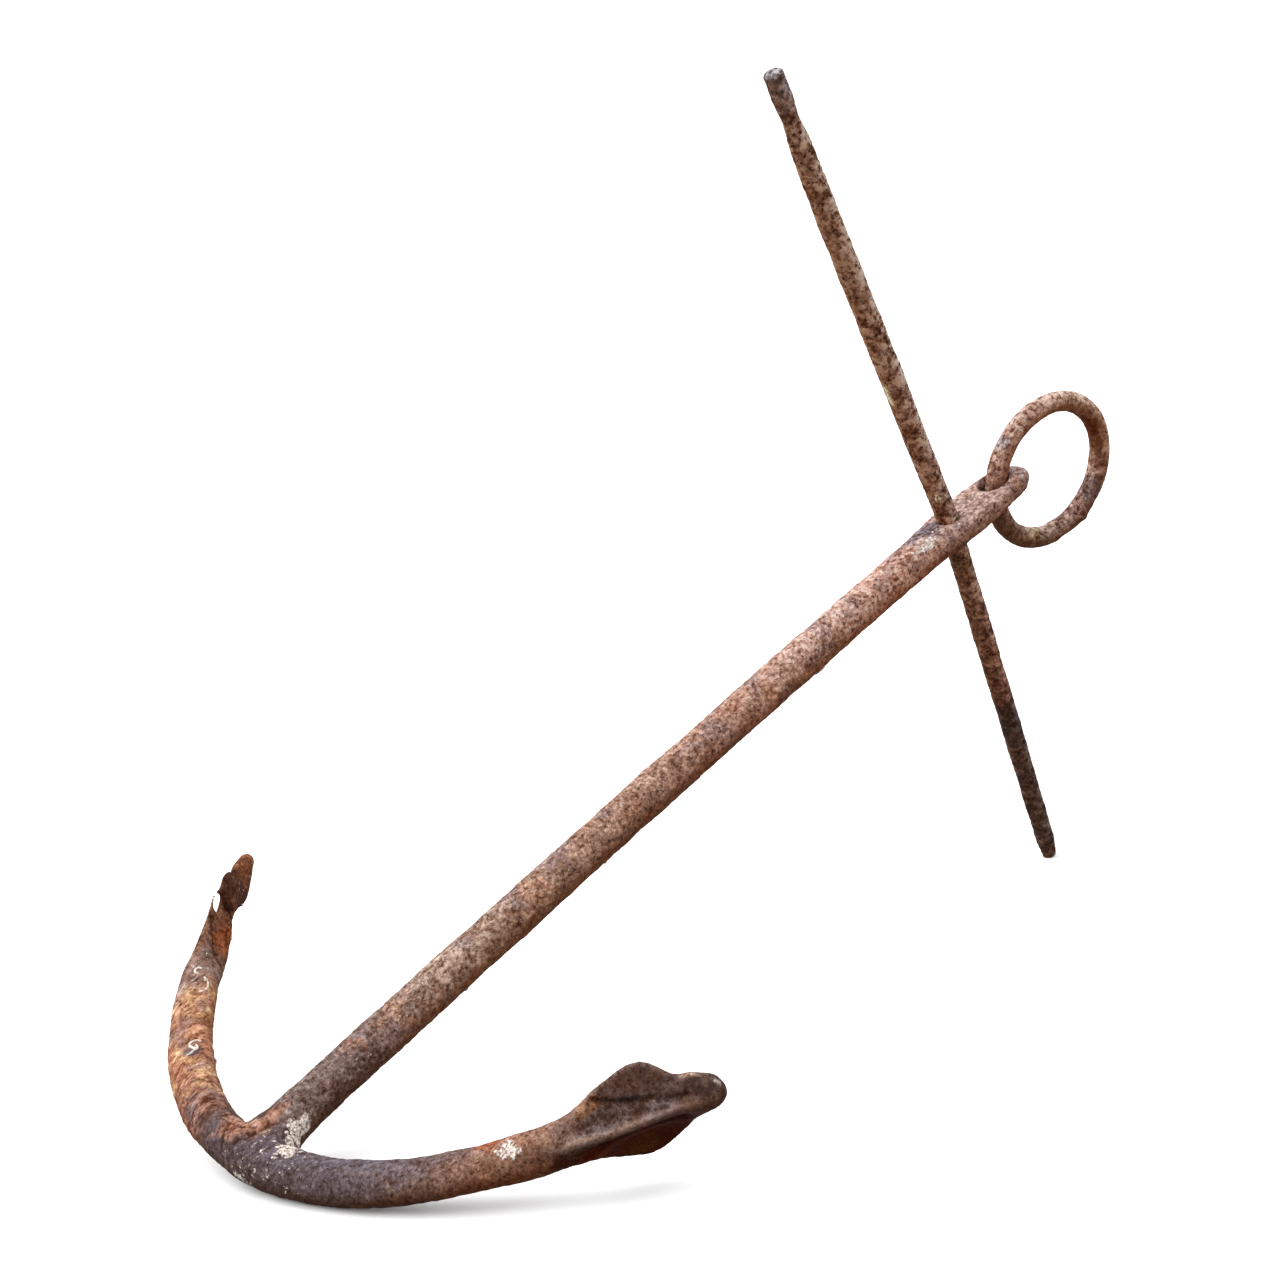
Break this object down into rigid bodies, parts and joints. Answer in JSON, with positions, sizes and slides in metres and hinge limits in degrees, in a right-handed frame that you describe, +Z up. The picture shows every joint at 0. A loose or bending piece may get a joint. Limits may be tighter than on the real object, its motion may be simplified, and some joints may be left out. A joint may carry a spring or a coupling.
{
  "type": "old stocked anchor",
  "caption": "Rusted fisherman's anchor with curved arms, one sound palm and one rusted through, a bent rod stock and a loose ring.",
  "frame": {"origin": "on the ground, under the middle of the whole anchor as it stands at rest on its crown and the lower end of its stock", "axes": "+Z up; +X the way the shank points in plan, from crown to ring; +Y towards the arm with the broken palm"},
  "size_m": [0.9618, 0.6496, 0.762],
  "materials": {
    "forged_iron": "rough red-brown rust with pits, flakes and pale sea crust",
    "stock_iron": "dark mottled rust",
    "ring_iron": "worn tan and grey rust"
  },
  "bodies": {
    "anchor": {"anchor_forging": "forged_iron", "stock": "stock_iron"},
    "ring": {"ring": "ring_iron"}
  },
  "joints": [
    {"name": "ring_swing", "type": "hinge", "parent": "anchor", "child": "ring", "pos_m": [0.34476, -0.00152, 0.37527], "axis": [-0.3967, -0.1382, 0.9075], "range_deg": [-140, 140]}
  ]
}
